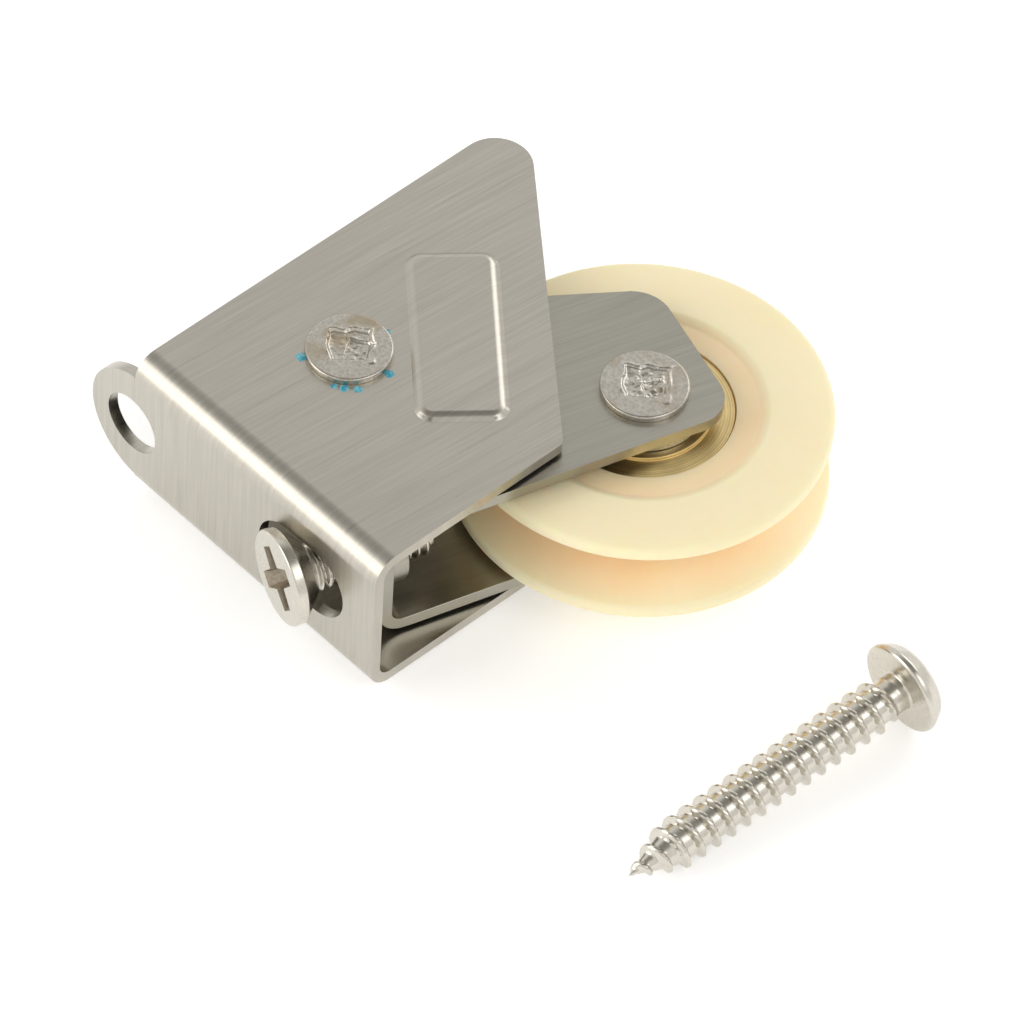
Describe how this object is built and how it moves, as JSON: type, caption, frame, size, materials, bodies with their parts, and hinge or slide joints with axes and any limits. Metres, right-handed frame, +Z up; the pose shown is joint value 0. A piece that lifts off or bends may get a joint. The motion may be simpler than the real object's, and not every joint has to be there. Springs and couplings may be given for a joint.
{
  "type": "sliding door roller",
  "caption": "Adjustable sliding door roller: a grooved nylon wheel on a swinging steel arm inside a bent sheet housing with a fixing tab, set by a screw, with a loose fixing screw.",
  "frame": {"origin": "centre of the fixing hole on the outer face of the housing's web", "axes": "+X along the web from the fixing tab to the open mouth, the way the wheel swings out; +Y from the web into the housing; +Z up, across the two side plates, along the pivot and the axle"},
  "size_m": [0.0606, 0.044, 0.0148],
  "materials": {
    "housing_steel": "brushed stainless sheet, brushed across the plates",
    "arm_steel": "brushed stainless sheet",
    "rivet_steel": "bright steel with a hammered head",
    "turned_steel": "turned",
    "nylon": "moulded cream nylon, satin",
    "bush_brass": "turned brass",
    "screw_steel": "polished stainless"
  },
  "bodies": {
    "housing": {"housing": "housing_steel", "pivot_rivet": "rivet_steel"},
    "arm": {"arm_bracket": "arm_steel", "pivot_sleeve": "turned_steel", "axle_rivet": "rivet_steel", "axle_sleeve": "turned_steel", "axle_washer_upper": "turned_steel", "axle_washer_lower": "turned_steel"},
    "wheel": {"wheel": "nylon", "wheel_bush": "bush_brass"},
    "adjusting_screw": {"adjusting_screw": "screw_steel"},
    "fixing_screw": {"fixing_screw": "screw_steel"}
  },
  "joints": [
    {"name": "arm_swing", "type": "hinge", "parent": "housing", "child": "arm", "pos_m": [0.0095, 0.0125, 0], "axis": [0, 0, -1], "range_deg": [-8, 3]},
    {"name": "wheel_spin", "type": "hinge", "parent": "arm", "child": "wheel", "pos_m": [0.02534, 0.0271, 0], "axis": [0, 0, 1], "continuous": true},
    {"name": "screw_advance", "type": "slide", "parent": "arm", "child": "adjusting_screw", "axis": [0.2756, 0.9613, 0], "range_m": [-0.0011, 0.0004]},
    {"name": "fixing_screw_lift", "type": "slide", "parent": "housing", "child": "fixing_screw", "axis": [0, 0, 1], "range_m": [0, 0.03]}
  ],
  "couplings": [
    {"joint": "screw_advance", "follows": "arm_swing", "m_per_rad": 0.0075}
  ]
}
